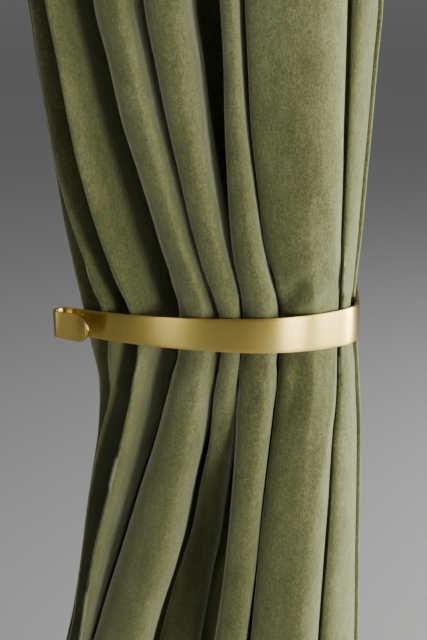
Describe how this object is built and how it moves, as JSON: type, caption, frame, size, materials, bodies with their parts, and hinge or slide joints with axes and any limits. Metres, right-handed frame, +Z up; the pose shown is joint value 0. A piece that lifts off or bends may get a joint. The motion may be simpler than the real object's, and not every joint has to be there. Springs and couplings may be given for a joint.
{
  "type": "window curtain on a rod",
  "caption": "Floor-length olive velvet curtain with pinch-pleated heading on a brass rod with rings, drawn into a flat curled brass holdback.",
  "frame": {"origin": "on the wall plane, half way between the two brackets and half way between the holes of each plate, at the height of the rod's axis", "axes": "+Z up, +X along the rod to the right as seen from the room, +Y into the wall; the room is on the -Y side"},
  "size_m": [1.206, 0.134, 2.329],
  "materials": {
    "brass": "satin, brushed along its length",
    "velvet": "cotton velvet, short pile with a soft sheen",
    "lining": "plain sateen lining",
    "buckram": "stiff woven heading band",
    "hook_steel": "plated wire",
    "weight_metal": "dull cast disc"
  },
  "bodies": {
    "root": {"rod_tube": "brass", "rod_insert_left": "brass", "rod_insert_right": "brass", "finial_left": "brass", "finial_right": "brass", "wall_plate_left": "brass", "wall_plate_right": "brass", "bracket_arm_left": "brass", "bracket_arm_right": "brass", "rod_cradle_left": "brass", "rod_cradle_right": "brass", "ring_1": "brass", "ring_eye_1": "brass", "pin_hook_1": "hook_steel", "velvet_upper": "velvet", "velvet_lower": "velvet", "velvet_hem": "velvet", "lining_upper": "lining", "lining_lower": "lining", "heading_buckram": "buckram", "hem_weight_left": "weight_metal", "hem_weight_right": "weight_metal", "holdback_band": "brass", "holdback_backplate": "brass", "holdback_screws": "brass"},
    "leading_glide": {"ring_8": "brass", "ring_eye_8": "brass", "pin_hook_8": "hook_steel"},
    "glide_2": {"ring_2": "brass", "ring_eye_2": "brass", "pin_hook_2": "hook_steel"},
    "glide_3": {"ring_3": "brass", "ring_eye_3": "brass", "pin_hook_3": "hook_steel"},
    "glide_4": {"ring_4": "brass", "ring_eye_4": "brass", "pin_hook_4": "hook_steel"},
    "glide_5": {"ring_5": "brass", "ring_eye_5": "brass", "pin_hook_5": "hook_steel"},
    "glide_6": {"ring_6": "brass", "ring_eye_6": "brass", "pin_hook_6": "hook_steel"},
    "glide_7": {"ring_7": "brass", "ring_eye_7": "brass", "pin_hook_7": "hook_steel"},
    "thumb_left": {"thumb_screw_left": "brass"},
    "thumb_right": {"thumb_screw_right": "brass"}
  },
  "joints": [
    {"name": "draw_curtain", "type": "slide", "parent": "root", "child": "leading_glide", "axis": [1, 0, 0], "range_m": [0, 0.3], "deforming": ["velvet_upper", "lining_upper", "heading_buckram"]},
    {"name": "glide_ring_2", "type": "slide", "parent": "root", "child": "glide_2", "axis": [1, 0, 0], "range_m": [0, 0.0228]},
    {"name": "glide_ring_3", "type": "slide", "parent": "root", "child": "glide_3", "axis": [1, 0, 0], "range_m": [0, 0.0676]},
    {"name": "glide_ring_4", "type": "slide", "parent": "root", "child": "glide_4", "axis": [1, 0, 0], "range_m": [0, 0.1258]},
    {"name": "glide_ring_5", "type": "slide", "parent": "root", "child": "glide_5", "axis": [1, 0, 0], "range_m": [0, 0.1877]},
    {"name": "glide_ring_6", "type": "slide", "parent": "root", "child": "glide_6", "axis": [1, 0, 0], "range_m": [0, 0.2437]},
    {"name": "glide_ring_7", "type": "slide", "parent": "root", "child": "glide_7", "axis": [1, 0, 0], "range_m": [0, 0.2844]},
    {"name": "turn_thumb_screw_left", "type": "hinge", "parent": "root", "child": "thumb_left", "pos_m": [-0.47, -0.09, -0.02], "axis": [0, 0, 1], "range_deg": [-270, 0]},
    {"name": "turn_thumb_screw_right", "type": "hinge", "parent": "root", "child": "thumb_right", "pos_m": [0.47, -0.09, -0.02], "axis": [0, 0, 1], "range_deg": [-270, 0]}
  ],
  "couplings": [
    {"joint": "glide_ring_2", "follows": "draw_curtain", "ratio": 0.0756},
    {"joint": "glide_ring_3", "follows": "draw_curtain", "ratio": 0.225},
    {"joint": "glide_ring_4", "follows": "draw_curtain", "ratio": 0.4189},
    {"joint": "glide_ring_5", "follows": "draw_curtain", "ratio": 0.6252},
    {"joint": "glide_ring_6", "follows": "draw_curtain", "ratio": 0.8121},
    {"joint": "glide_ring_7", "follows": "draw_curtain", "ratio": 0.9477}
  ]
}
